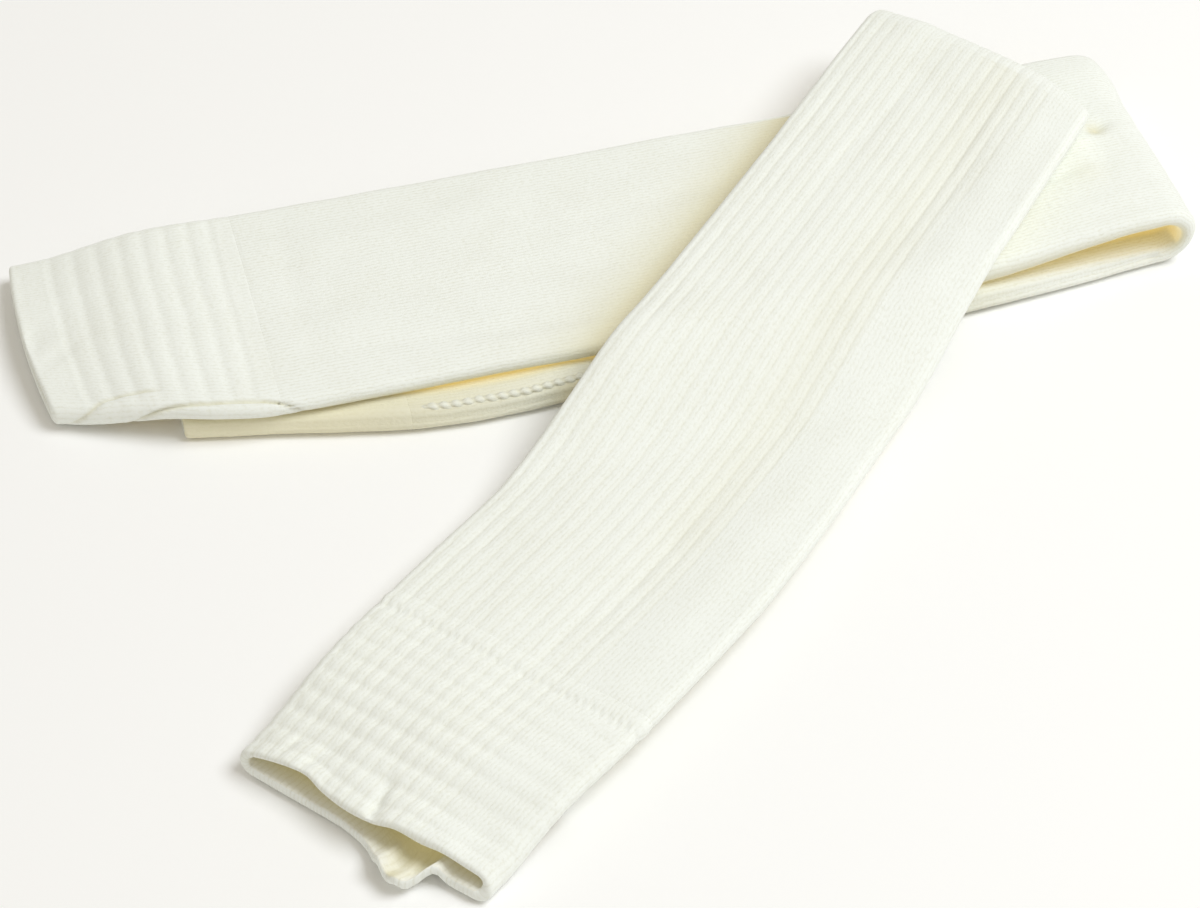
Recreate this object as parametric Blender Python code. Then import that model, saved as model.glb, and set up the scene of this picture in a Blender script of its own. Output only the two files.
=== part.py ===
"""Pair of knitted leg warmers, each folded once across, one laid over the other.

Metres, +Z up. The pair lies on z = 0 with its box centred on the origin.
Each warmer is worked out in its own flat frame first: `along` runs from the open
cuff to the fold, `across` is the sideways place, plus towards the back, and heights
are above the floor. lay_down() then turns that frame to its heading and lifts the
upper warmer over the one beneath.
"""

import math

import bmesh
import bpy
from mathutils import Vector

MM = 0.001

# The knitted cloth
LEG_WIDTH = 90 * MM  # flat width of a leg tube
WALL = 2.3 * MM  # one ply of the leg
CUFF_WALL = 2.2 * MM  # one ply of a cuff, before its welts
EDGE_RADIUS = 3.1 * MM  # rounding of a flattened tube's side creases
SEAM_GAP = 0.3 * MM  # parting between neighbouring solids
REST_GAP = 0.6 * MM  # parting where one warmer lies on the other
CUFF_LENGTH = 70 * MM

# Lengthwise ribs, which cover the front of the leg and stop short of its plain side
RIB_COUNT = 14
RIB_SHARE = 0.735  # share of the flat width that is ribbed
RIB_HEIGHT = 0.5 * MM
CUFF_RIB_HEIGHT = 0.3 * MM
SIDE_RIB_PHASES = (-1, 0.5, 0.5)  # the ribs go on round the far edge: a groove and two points of a crest

# Crosswise welts of the cuff
WELT_COUNT = 8
WELT_HEIGHT = 0.75 * MM
WELT_FIRST = 6.5 * MM  # plain rim before the first welt
WELT_LAST = 6.0 * MM  # plain band after the last one
WELT_SHARE = {"top": 1.0, "near": 0.35, "bottom": 0.0, "far": 0.35}  # how far they stand out where

# The two plies of a folded-back run part in a groove along its edges, where its side seam lies
PLY_GROOVE = 1.0 * MM
SEAM_TURN = math.pi * 2 / 3  # how far round the edge it lies, from the underside
GROOVE_SPREAD = 0.4
SEAM_RADIUS = 0.9 * MM
SEAM_SIDES = 6
SEAM_INSET = 3 * MM  # how far the seam stays off the run's ends
FOLD_GAP = 0.6 * MM  # parting between a leg and its fold

# How finely the solids are divided
CARRIED = 2  # every second outer column carries an inner one
INNER_CUFF_STEP = 4  # and in a cuff every fourth ring does
SIDE_STEPS = 6
PLAIN_TOP_STEPS = 12
RIBBED_PLAIN_STEPS = 4
UNDER_STEPS = 8
FOLD_STEPS = 8
STATION_STEP = 13 * MM
SHARP_ANGLE = math.radians(33)  # ribs and welts are crisper than this, rounded edges are not

# Seen lengths and places of the two warmers. Heights are of the middle of the
# flattened tube. A row of a table is a place along the run and a value there.
UNDER = {
    "name": "under",
    "start": (-178.6 * MM, 26.1 * MM),
    "heading": math.radians(17.1),
    "run": 378 * MM,
    "ribbed": False,
    "half_width": ((0, 36.7), (25, 40.2), (50, 43.6), (70, 45.0), (378, 45.0)),
    "centre": ((0, 9.4), (25, 5.4), (50, 1.4), (70, 0.0), (378, 0.0)),
    "height": (
        (0, 4.9),
        (13, 6.2),
        (35, 11.0),
        (52, 11.8),
        (70, 11.4),
        (200, 12.2),
        (300, 13.6),
        (350, 17.0),
        (366, 17.2),
    ),
    "near_lift": ((0, 0.0), (280, 0.0), (350, 4.0), (366, 4.2)),
    "mouth_puff": 1.8,
    "slant": ((0, -5.0), (70, 0.0), (378, 0.0)),
    "rim_bow": 2.6,
    "tongue": 0.0,
    "trough": 0.0,
    "fold_reach": 9.5,
    "return_end": 39 * MM,
    "return_half_width": 44.0,
    "return_centre": ((39, 2.0), (95, -8.6), (133, -13.4), (165, -14.0), (250, -11.5), (310, -4.5), (366, 0.0)),
    "return_lift": ((39, 0.5), (75, 0.9), (110, 1.5), (240, 1.5), (290, 0.0)),
    "near_droop": 0.0,
    "corner_back": 0.0,
    "corner_drop": 0.0,
}
OVER = {
    "name": "over",
    "start": (-60.7 * MM, -148.7 * MM),
    "heading": math.radians(58.7),
    "run": 366 * MM,
    "ribbed": True,
    "half_width": ((0, 42.4), (25, 43.0), (50, 44.4), (70, 45.0), (150, 45.0), (240, 43.8), (320, 44.6), (366, 45.0)),
    "centre": ((0, 3.4), (70, -3.4), (130, -8.0), (200, -7.4), (300, -3.6), (366, 0.0)),
    "height": (
        (0, 4.9),
        (12, 6.2),
        (32, 10.9),
        (48, 12.0),
        (70, 11.4),
        (200, 11.0),
        (300, 11.4),
        (345, 12.6),
        (356, 12.6),
    ),
    "near_lift": ((0, 0.0), (366, 0.0)),
    "mouth_puff": 2.6,
    "slant": ((0, 0.0), (260, 0.0), (366, 9.0)),
    "rim_bow": 0.5,
    "tongue": 8.5,
    "trough": 1.1,
    "fold_reach": 7.0,
    "return_end": 36 * MM,
    "return_half_width": 42.0,
    "return_centre": ((36, 2.0), (183, -3.6), (300, -0.6), (355, 0.0)),
    "return_lift": ((36, 0.0), (355, 0.0)),
    "near_droop": 2.0,
    "corner_back": 8.0,
    "corner_drop": 3.0,
}

# The upper warmer ramps up to the lower one's near edge and sags past its far edge
RAMP_LENGTH = 52 * MM  # how far from that edge it leaves the floor
RAMP_CLEAR = 5 * MM  # how far from that edge it is at full height
OVERHANG_SAG = 5 * MM
OVERHANG_LENGTH = 45 * MM

LEG_PUFF = 0.7 * MM  # crown of a flattened leg
TROUGH_PLACE = -0.32  # where the upper warmer's long shallow trough runs, as a place on its top face
TROUGH_SPREAD = 0.3

# The slack under ply pushes out of the upper warmer's mouth in a short tongue
TONGUE_PLACE = -0.5
TONGUE_SPREAD = 0.17
TONGUE_LENGTH = 26 * MM

# The near corner of the upper warmer's fold hangs back and down over the lower warmer
CORNER_INSIDE = 12 * MM  # how far from the middle line it starts
CORNER_WIDTH = 36 * MM
CORNER_START = 300 * MM
CORNER_LENGTH = 58 * MM

PAIR_CENTRE = (0.1617 * MM, 9.8338 * MM)  # middle of the pair before it is centred on the origin

CREAM = (0.86, 0.84, 0.74, 1.0)
CREAM_RIBBED = (0.84, 0.82, 0.71, 1.0)


def curve_through(rows, at):
    """Value at a place on the smooth curve through a table's rows (both in mm), in metres."""
    at = min(max(at / MM, rows[0][0]), rows[-1][0])
    slopes = []
    for i in range(len(rows)):
        low, high = rows[max(i - 1, 0)], rows[min(i + 1, len(rows) - 1)]
        slopes.append((high[1] - low[1]) / (high[0] - low[0]))
    for (x0, y0), (x1, y1), m0, m1 in zip(rows, rows[1:], slopes, slopes[1:]):
        if at <= x1:
            break
    span = x1 - x0
    t = (at - x0) / span
    value = (
        y0 * (1 + 2 * t) * (1 - t) ** 2
        + m0 * span * t * (1 - t) ** 2
        + y1 * t * t * (3 - 2 * t)
        - m1 * span * t * t * (1 - t)
    )
    return value * MM


def ease(t):
    """0 below t = 0, 1 above t = 1, and a smooth step between."""
    t = min(max(t, 0.0), 1.0)
    return t * t * (3 - 2 * t)


def bump(place, middle, spread):
    """A bell-shaped rise of 1 round a middle."""
    return math.exp(-(((place - middle) / spread) ** 2))


def fold_start(warmer):
    return warmer["run"] - warmer["fold_reach"] * MM - EDGE_RADIUS


def upper_height(warmer, along, across):
    """Height of the upper run's middle surface: the fold's lift is greatest on the near side."""
    near = 0.5 - 0.5 * across / (LEG_WIDTH / 2)
    droop = warmer["near_droop"] * MM * ease((-across - 34 * MM) / (11 * MM))
    return (
        curve_through(warmer["height"], along)
        + curve_through(warmer["near_lift"], along) * min(max(near, 0.0), 1.0)
        - droop * (1 - ease((along - 8 * MM) / (24 * MM)))
    )


def under_top(along, across):
    """Height of the lower warmer's upper surface."""
    half = curve_through(UNDER["half_width"], along) - EDGE_RADIUS
    offset = across - curve_through(UNDER["centre"], along)
    share = min(max(offset / half, -1.0), 1.0)
    return upper_height(UNDER, along, across) + EDGE_RADIUS + LEG_PUFF * (1 - share * share)


def support_height(x, y):
    """Height of what the upper warmer lies on at a place on the floor."""
    dx, dy = x - UNDER["start"][0], y - UNDER["start"][1]
    cos, sin = math.cos(UNDER["heading"]), math.sin(UNDER["heading"])
    along, across = dx * cos + dy * sin, dy * cos - dx * sin
    edge = LEG_WIDTH / 2
    inside = min(max(across, -edge), edge)
    top = under_top(min(along, fold_start(UNDER)), inside) + REST_GAP
    rise = ease((across + edge + RAMP_LENGTH) / (RAMP_LENGTH - RAMP_CLEAR))
    past = max(across - edge, 0.0) / OVERHANG_LENGTH
    return top * rise - OVERHANG_SAG * past * past


def corner_share(along, across):
    """How much of the fold corner's hang a place has."""
    sideways = ease((-across - CORNER_INSIDE) / CORNER_WIDTH)
    return sideways * ease((along - CORNER_START) / CORNER_LENGTH)


def lay_down(warmer, along, across, height):
    """The world place of a point of a warmer's flat frame."""
    cos, sin = math.cos(warmer["heading"]), math.sin(warmer["heading"])
    x = warmer["start"][0] + along * cos - across * sin
    y = warmer["start"][1] + along * sin + across * cos
    if warmer is OVER:
        height += support_height(x, y)
    return Vector((x - PAIR_CENTRE[0], y - PAIR_CENTRE[1], height))


def columns_round(ribbed):
    """The places round a flattened tube: (face, place on it, rib phase, carries an inner point)."""
    columns = []
    if ribbed:
        steps = RIB_COUNT * 2
        columns += [("top", 1 - 2 * RIB_SHARE * i / steps, 1 if i % 2 else -1) for i in range(steps)]
        rest = RIBBED_PLAIN_STEPS
        columns += [("top", 1 - 2 * RIB_SHARE - (2 - 2 * RIB_SHARE) * i / rest, 0) for i in range(rest)]
    else:
        columns += [("top", 1 - 2 * i / PLAIN_TOP_STEPS, 0) for i in range(PLAIN_TOP_STEPS)]
    columns += [("near", math.pi * i / SIDE_STEPS, 0) for i in range(SIDE_STEPS)]
    columns += [("bottom", -1 + 2 * i / UNDER_STEPS, 0) for i in range(UNDER_STEPS)]
    phases = SIDE_RIB_PHASES if ribbed else (0,)
    columns += [
        ("far", math.pi * (1 - i / SIDE_STEPS), phases[i % len(phases)]) for i in range(SIDE_STEPS)
    ]
    return [(*column, i % CARRIED == 0) for i, column in enumerate(columns)]


def upper_station(warmer, along, welt=0.0, carries=True):
    """A section across the upper run."""
    mouth = 1 - ease(along / CUFF_LENGTH)
    return {
        "stretch": "upper",
        "along": along,
        "half": curve_through(warmer["half_width"], along),
        "radius": EDGE_RADIUS + 0.5 * warmer["mouth_puff"] * MM * mouth,
        "centre": curve_through(warmer["centre"], along),
        "puff": {"top": LEG_PUFF + warmer["mouth_puff"] * MM * mouth, "bottom": 0.0},
        "welt": welt,
        "rib": RIB_HEIGHT if along > CUFF_LENGTH else CUFF_RIB_HEIGHT,
        "slant": curve_through(warmer["slant"], along),
        "trough": warmer["trough"] * MM * ease(along / CUFF_LENGTH - 0.4),
        "rim_bow": warmer["rim_bow"] * MM * mouth,
        "tongue": warmer["tongue"] * MM * (1 - ease(along / TONGUE_LENGTH)),
        "layering": 0.0,
        "lift": 0.0,
        "upper": 1.0,
        "carries": carries,
    }


def fold_station(warmer, turn):
    """A section across the fold. turn goes from 0 at the upper run to 1 at the return."""
    start = fold_start(warmer)
    half = curve_through(warmer["half_width"], start)
    back = warmer["return_half_width"] * MM
    centre = curve_through(warmer["centre"], start)
    return {
        "stretch": "fold",
        "along": start,
        "turn": turn * math.pi,
        "half": half + (back - half) * ease(turn),
        "radius": EDGE_RADIUS,
        "centre": centre + (curve_through(warmer["return_centre"], start) - centre) * ease(turn),
        "puff": {"top": LEG_PUFF * (1 - ease(turn)), "bottom": 0.0},
        "welt": 0.0,
        "rib": RIB_HEIGHT * (1 - ease(1.6 * turn - 0.3)),
        "slant": curve_through(warmer["slant"], start),
        "trough": warmer["trough"] * MM * (1 - ease(turn)),
        "rim_bow": 0.0,
        "tongue": 0.0,
        "layering": PLY_GROOVE * ease(2 * turn - 1),
        "lift": 0.0,
        "upper": 1 - ease(turn),
        "carries": True,
    }


def return_station(warmer, along):
    """A section across the half that is folded back underneath."""
    return {
        "stretch": "return",
        "along": along,
        "half": warmer["return_half_width"] * MM,
        "radius": EDGE_RADIUS,
        "centre": curve_through(warmer["return_centre"], along),
        "puff": {"top": 0.0, "bottom": 0.0},
        "welt": 0.0,
        "rib": 0.0,
        "slant": curve_through(warmer["slant"], along),
        "trough": 0.0,
        "rim_bow": 0.0,
        "tongue": 0.0,
        "layering": PLY_GROOVE,
        "lift": curve_through(warmer["return_lift"], along),
        "upper": 0.0,
        "carries": True,
    }


def cloth_point(warmer, station, column, depth):
    """A point of the cloth, depth below its outer face."""
    face, place, rib_phase, _ = column
    radius = station["radius"] - depth
    flat = station["half"] - station["radius"]
    relief = 0.0
    if depth == 0.0:
        relief = rib_phase * station["rib"] + station["welt"] * WELT_SHARE[face]
    if face in ("top", "bottom"):
        side = 1 if face == "top" else -1
        across = place * flat
        out = side * (radius + relief + station["puff"][face] * (1 - place * place))
        if face == "top":
            out -= station["trough"] * bump(place, TROUGH_PLACE, TROUGH_SPREAD)
        else:
            out -= station["lift"]
    else:
        side = -1 if face == "near" else 1
        relief -= station["layering"] * bump(place, SEAM_TURN, GROOVE_SPREAD)
        relief += station["lift"] * (1 - math.cos(place)) / 2
        across = side * (flat + (radius + relief) * math.sin(place))
        out = (radius + relief) * math.cos(place)
    share = across / station["half"]
    across += station["centre"]
    along = station["along"] + station["slant"] * across / LEG_WIDTH - station["rim_bow"] * (1 - share * share)
    hang = corner_share(station["along"], across)
    along -= warmer["corner_back"] * MM * hang
    down = warmer["corner_drop"] * MM * hang * station["upper"]
    if face == "bottom":
        along -= station["tongue"] * bump(place, TONGUE_PLACE, TONGUE_SPREAD)
    if station["stretch"] == "upper":
        return lay_down(warmer, along, across, upper_height(warmer, along, across) - down + out)
    if station["stretch"] == "return":
        return lay_down(warmer, along, across, EDGE_RADIUS - out)
    top = upper_height(warmer, along, across) - down
    reach, drop = warmer["fold_reach"] * MM, (top - EDGE_RADIUS) / 2
    turn = station["turn"]
    normal = Vector((drop * math.sin(turn), reach * math.cos(turn))).normalized()
    along += reach * math.sin(turn) + out * normal.x
    height = top - drop + drop * math.cos(turn) + out * normal.y
    return lay_down(warmer, along, across, height)


def loft(bm, rings, inward):
    """Faces between neighbouring closed rings."""
    for ring, following in zip(rings, rings[1:]):
        for i in range(len(ring)):
            j = (i + 1) % len(ring)
            corners = [ring[i], ring[j], following[j], following[i]]
            bm.faces.new(corners[::-1] if inward else corners)


def rim(bm, outer, inner, carried, ahead):
    """The cut edge of a wall, between its outer ring and its inner one."""
    count = len(outer)
    for k, start in enumerate(carried):
        end = carried[(k + 1) % len(carried)]
        span = (end - start) % count
        corners = [outer[(start + i) % count] for i in range(span + 1)]
        corners += [inner[(k + 1) % len(carried)], inner[k]]
        bm.faces.new(corners if ahead else corners[::-1])


def finish_solid(name, bm, colour):
    bmesh.ops.recalc_face_normals(bm, faces=bm.faces[:])
    mesh = bpy.data.meshes.new(name)
    bm.to_mesh(mesh)
    bm.free()
    mesh.shade_smooth()
    mesh.set_sharp_from_angle(angle=SHARP_ANGLE)
    obj = bpy.data.objects.new(name, mesh)
    bpy.data.collections["leg_warmers"].objects.link(obj)
    mesh.materials.append(knit_material(name, colour))
    return obj


def tube_wall(name, warmer, stations, columns, wall, colour):
    """An open tube of cloth: relief on its outer points over a plain inside."""
    bm = bmesh.new()
    carried = [i for i, column in enumerate(columns) if column[3]]
    outer = [[bm.verts.new(cloth_point(warmer, s, c, 0.0)) for c in columns] for s in stations]
    inner = [
        [bm.verts.new(cloth_point(warmer, s, columns[i], wall)) for i in carried]
        for s in stations
        if s["carries"]
    ]
    loft(bm, outer, inward=False)
    loft(bm, inner, inward=True)
    rim(bm, outer[0], inner[0], carried, ahead=False)
    rim(bm, outer[-1], inner[-1], carried, ahead=True)
    return finish_solid(name, bm, colour)


def rounded_slab(name, warmer, stations, columns, colour):
    """Hidden layers as one solid with rounded edges."""
    bm = bmesh.new()
    rings = [[bm.verts.new(cloth_point(warmer, s, c, 0.0)) for c in columns] for s in stations]
    loft(bm, rings, inward=False)
    bm.faces.new(rings[0][::-1])
    bm.faces.new(rings[-1])
    return finish_solid(name, bm, colour)


def knit_material(name, colour):
    material = bpy.data.materials.new(f"{name}_knit")
    material.use_nodes = True
    shader = material.node_tree.nodes["Principled BSDF"]
    shader.inputs["Base Color"].default_value = colour
    shader.inputs["Roughness"].default_value = 0.9
    shader.inputs["Metallic"].default_value = 0.0
    return material


def evenly(low, high, step):
    """Places from low to high, no further apart than step."""
    count = max(1, math.ceil((high - low) / step - 1e-6))
    return [low + (high - low) * i / count for i in range(count + 1)]


def welt_places():
    """(distance from the cuff's rim, welt relief): a groove and a crest for each welt."""
    pitch = (CUFF_LENGTH - WELT_FIRST - WELT_LAST) / WELT_COUNT
    rows = [(0.0, 0.0), (WELT_FIRST / 2, WELT_HEIGHT)]
    for i in range(WELT_COUNT):
        start = WELT_FIRST + i * pitch
        rows += [(start, -WELT_HEIGHT)]
        rows += [(start + pitch * 0.5, WELT_HEIGHT)]
    rows += [(CUFF_LENGTH - WELT_LAST, -WELT_HEIGHT), (CUFF_LENGTH, 0.0)]
    return rows


def cuff_stations(warmer):
    """Sections of the seen cuff from its rim inwards."""
    places = welt_places()
    last = len(places) - 1
    return [
        upper_station(warmer, offset, welt, carries=i % INNER_CUFF_STEP == 0 or i == last)
        for i, (offset, welt) in enumerate(places)
    ]


def side_seam(warmer, alongs):
    """The linked seam along the near edge of the half folded underneath: its points, moved out."""
    bm = bmesh.new()
    rings = []
    turns = [2 * math.pi * i / SEAM_SIDES for i in range(SEAM_SIDES)]
    for along in alongs:
        edge = curve_through(warmer["return_centre"], along) - warmer["return_half_width"] * MM
        lift = curve_through(warmer["return_lift"], along) * (1 - math.cos(SEAM_TURN)) / 2
        reach = EDGE_RADIUS - PLY_GROOVE + lift + SEAM_GAP + SEAM_RADIUS
        across = edge + EDGE_RADIUS - reach * math.sin(SEAM_TURN)
        height = EDGE_RADIUS - reach * math.cos(SEAM_TURN)
        back = warmer["corner_back"] * MM * corner_share(along, across)
        rings.append(
            [
                bm.verts.new(
                    lay_down(
                        warmer,
                        along - back,
                        across - SEAM_RADIUS * math.sin(turn),
                        height + SEAM_RADIUS * math.cos(turn),
                    )
                )
                for turn in turns
            ]
        )
    loft(bm, rings, inward=False)
    bm.faces.new(rings[0][::-1])
    bm.faces.new(rings[-1])
    return finish_solid(f"{warmer['name']}_side_seam", bm, CREAM)


def build_warmer(warmer):
    name, start = warmer["name"], fold_start(warmer)
    columns = columns_round(warmer["ribbed"])
    plain = columns_round(False)
    colour = CREAM_RIBBED if warmer["ribbed"] else CREAM
    tube_wall(
        f"{name}_cuff", warmer, cuff_stations(warmer), columns, CUFF_WALL, colour
    )
    leg = [upper_station(warmer, s) for s in evenly(CUFF_LENGTH + SEAM_GAP, start - FOLD_GAP, STATION_STEP)]
    tube_wall(f"{name}_leg", warmer, leg, columns, WALL, colour)
    fold = [fold_station(warmer, i / FOLD_STEPS) for i in range(FOLD_STEPS + 1)]
    tube_wall(f"{name}_fold", warmer, fold, columns, WALL, colour)
    cuff_start = warmer["return_end"] + CUFF_LENGTH
    back = [return_station(warmer, s) for s in evenly(cuff_start + SEAM_GAP, start - SEAM_GAP, STATION_STEP)]
    rounded_slab(f"{name}_return", warmer, back[::-1], plain, CREAM)
    side_seam(warmer, evenly(cuff_start + SEAM_INSET, start - SEAM_INSET, STATION_STEP)[::-1])
    back_cuff = [return_station(warmer, s) for s in evenly(warmer["return_end"], cuff_start, STATION_STEP)]
    tube_wall(f"{name}_return_cuff", warmer, back_cuff[::-1], plain, CUFF_WALL, CREAM)


def main():
    for obj in list(bpy.data.objects):
        bpy.data.objects.remove(obj)
    collection = bpy.data.collections.new("leg_warmers")
    bpy.context.scene.collection.children.link(collection)
    build_warmer(UNDER)
    build_warmer(OVER)


main()
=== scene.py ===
import math

import bmesh
import bpy
from mathutils import Matrix, Vector, noise


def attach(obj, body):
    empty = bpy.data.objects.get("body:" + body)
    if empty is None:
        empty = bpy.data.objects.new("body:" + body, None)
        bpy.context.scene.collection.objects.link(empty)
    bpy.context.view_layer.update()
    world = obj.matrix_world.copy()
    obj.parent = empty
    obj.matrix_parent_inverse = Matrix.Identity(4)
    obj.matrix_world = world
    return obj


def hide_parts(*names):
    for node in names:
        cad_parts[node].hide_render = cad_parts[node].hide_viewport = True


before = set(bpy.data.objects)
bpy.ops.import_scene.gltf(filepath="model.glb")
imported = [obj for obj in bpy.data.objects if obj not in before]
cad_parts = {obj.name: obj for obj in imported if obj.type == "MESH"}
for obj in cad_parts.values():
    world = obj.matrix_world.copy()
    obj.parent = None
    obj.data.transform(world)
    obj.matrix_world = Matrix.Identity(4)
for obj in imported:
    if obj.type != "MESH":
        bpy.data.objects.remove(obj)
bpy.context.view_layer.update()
print("frame loaded with", len(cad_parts), "nodes")

mm = 0.001

# What both leg warmers share, in mm
knit = {
    "legWidth": 90.0,
    "edgeRadius": 3.1,     # rounding of a flattened tube's side creases
    "crown": 0.7,
    "ply": 2.2,
    "cuffLength": 70.0,
    "restGap": 0.6,
    "mouthRounding": 0.62,   # share of the mouth's puff that its side creases open by
    "foldSpare": 5.0,      # how much rounder than its reach the yarn's way through the fold is
    "reliefDepth": 0.6,    # ribs and folds fade out this far into the wall
    "innerShare": 0.9,     # a place deeper than this share of the wall is on its inner face
    "middle": (0.1617, 9.8338),   # middle of the pair's box on the floor
}

# Lengthwise ribs of the upper warmer's front, in mm
ribs = {
    "pitch": 4.4,
    "count": 17,
    "height": 0.105,
    "cuffHeight": 0.17,
    "crest": 0.7,          # a crest, a groove and the fine groove between two, as shares of the height
    "groove": 2.0,
    "halfway": 0.55,
    "halfwayNarrowness": 3.0,
    "wrapsBack": 5,        # ribs that go on round the far edge and underneath
    "grooveNarrowness": 2.3,
    "cuffNarrowness": 1.4,
    "cuffEnd": 60.0,       # where the cuff's ribs begin to turn into the leg's, and over what length
    "joinLength": 10.0,
    "uneven": 0.5,         # how much a groove's depth changes along it, slowly and then quickly
    "unevenLength": 40.0,
    "broken": 0.7,
    "brokenLength": 4.5,
    "farEdge": {"at": 2.0, "spread": 7.0, "more": 1.1},       # where they are bolder, round the tube
    "plainSide": {"at": 56.0, "spread": 12.0, "more": 0.9, "length": 30.0},
    "foldShare": 0.7,      # what is left of them in the fold, and the turn in radians that ends them
    "foldEnd": 2.2,
    "end": ((0, 61.6), (200, 62.5), (290, 66.0), (345, 73.0)),   # plain past this distance round
}

# Crosswise welts of the cuffs, in mm
welts = {
    "height": 0.2,
    "last": 7.5,           # plain band after the last groove
    "crest": 0.75,
    "groove": 2.0,
    "narrowness": 1.7,
    "wander": 0.5,
    "sideShare": 0.35,     # how much of their height is left on the side edges and underneath
    "underShare": 0.3,
    "plainLoss": 0.45,     # how much of it the upper warmer's plain band loses
    "ribbedMore": 1.3,
}

# Each row of a table is a place along the run and a value there, all in mm
underWarmer = {
    "name": "under",
    "start": (-178.6, 26.1),
    "heading": math.radians(17.1),
    "run": 378.0,
    "ribbed": False,
    "halfWidth": ((0, 35.2), (25, 39.7), (50, 43.6), (70, 45.0), (378, 45.0)),
    "centre": ((0, 10.9), (25, 5.9), (50, 1.4), (70, 0.0), (378, 0.0)),
    "height": ((0, 4.9), (13, 6.2), (35, 11.0), (52, 11.8), (70, 11.4), (200, 12.2), (300, 13.6), (350, 17.0),
               (366, 17.2)),
    "nearLift": ((0, 0.0), (280, 0.0), (350, 4.0), (366, 4.2)),
    "mouthPuff": 1.8,
    "slant": ((0, -5.0), (70, 0.0), (378, 0.0)),
    "rimBow": 2.6,
    "tongue": ((-45, 0.0), (45, 0.0)),
    "pleats": (),
    "rimWave": ((-45, 0.0), (45, 0.0)),
    "rimRise": ((-45, 0.0), (45, 0.0)),
    "trough": 0.0,
    "foldReach": 9.5,
    "returnEnd": 39.0,
    "returnHalfWidth": 44.0,
    "welts": (12.8, 7),    # plain hem before the first groove, and how many welts
    "returnLift": ((39, 0.5), (75, 0.9), (110, 1.5), (240, 1.6), (300, 2.0), (335, 1.4), (355, 0.5),
                   (366, 0.0)),
    "returnCentre": ((39, 4.6), (60, 0.4), (95, -6.8), (120, -10.8), (145, -11.4), (165, -10.0), (200, -8.6),
                     (250, -7.6), (310, -4.5), (366, 0.0)),
    "nearDroop": 0.0,
    "corner": (0.0, 0.0),
    "nearRoll": ((0, 0.0), (240, 0.6), (290, 2.8), (315, 2.6), (340, 1.6), (352, 1.0), (366, 0.4)),
    "rumple": 0.34,        # height of the cloth's soft unevenness
    "seed": 3.7,
}
overWarmer = {
    "name": "over",
    "start": (-60.7, -148.7),
    "heading": math.radians(58.7),
    "run": 366.0,
    "ribbed": True,
    "halfWidth": ((0, 42.4), (25, 43.0), (50, 44.4), (70, 45.0), (150, 45.0), (240, 43.8), (320, 44.6),
                  (366, 45.0)),
    "centre": ((0, 3.4), (70, -3.4), (130, -8.0), (200, -7.4), (300, -3.6), (366, 0.0)),
    "height": ((0, 4.9), (12, 6.2), (32, 10.9), (48, 12.0), (70, 11.4), (200, 11.0), (300, 11.4), (345, 12.6),
               (356, 12.6)),
    "nearLift": ((0, 0.0), (366, 0.0)),
    "mouthPuff": 2.6,
    "slant": ((0, 0.0), (260, 0.0), (366, 9.0)),
    "rimBow": 0.5,
    # how far the lower ply's rim juts out, and its ridges in the mouth: place across, width and height
    "tongue": ((-30, 0.0), (-26, 0.8), (-23.8, 3.6), (-22, 7.6), (-18.5, 9.6), (-14, 8.6), (-9.5, 6.0),
               (-4, 2.6), (4.6, 0.4), (11, 0.0)),
    "pleats": ((-11.5, 2.2, 2.6), (-18.5, 1.6, 1.6), (-25.5, 2.6, 3.8)),
    # how far the upper ply's rim lies back and how far it rises, across it
    "rimWave": ((-45, 2.0), (-37, 3.0), (-30, 3.0), (-23, 2.6), (-17, 2.2), (-8, 1.6), (-1, 0.3), (8, 0.2),
                (17, 1.6), (23, 3.0), (28, 2.8), (35, 2.0), (45, 1.0)),
    "rimRise": ((-45, 0.0), (-30, 0.4), (-23, 1.2), (-16, 0.2), (-8, 0.8), (-1, -0.2), (8, -0.6), (17, -0.4),
                (23, 1.0), (28, 1.5), (35, 1.4), (42, 0.5), (45, 0.0)),
    "trough": 1.1,
    "foldReach": 7.0,
    "returnEnd": 36.0,
    "returnHalfWidth": 42.0,
    "welts": (5.4, 8),
    "returnLift": ((36, 0.0), (355, 0.0)),
    "returnCentre": ((36, 2.0), (183, -3.6), (300, -0.6), (355, 0.0)),
    "nearDroop": 2.0,
    "corner": (8.0, 3.0),  # how far the fold's near corner hangs back and down
    "nearRoll": ((0, 0.0), (366, 0.0)),
    "rumple": 0.3,
    "seed": 11.2,
}

# How the upper warmer climbs over the lower one, sags past its far edge and droops by its mouth, in mm
drape = {
    "rampLength": 52.0,
    "rampClear": 5.0,
    "sag": 5.0,
    "sagLength": 45.0,
    "droopFrom": 34.0,
    "droopWidth": 11.0,
    "droopAlong": 8.0,
    "droopLength": 24.0,
}

# The upper warmer's trough, from -1 near to 1 far across its face, its mouth, and its fold's corner in mm
lie = {
    "troughPlace": -0.32,
    "troughSpread": 0.3,
    "tongueLength": 26.0,
    "tongueJut": 9.6,
    "tongueCurl": 2.0,
    "curlLength": 3.5,
    "pleatLength": 24.0,
    "riseLength": 20.0,
    "waveLength": 16.0,
    "cornerAcross": 12.0,
    "cornerWidth": 36.0,
    "cornerAlong": 300.0,
    "cornerLength": 58.0,
}


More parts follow.
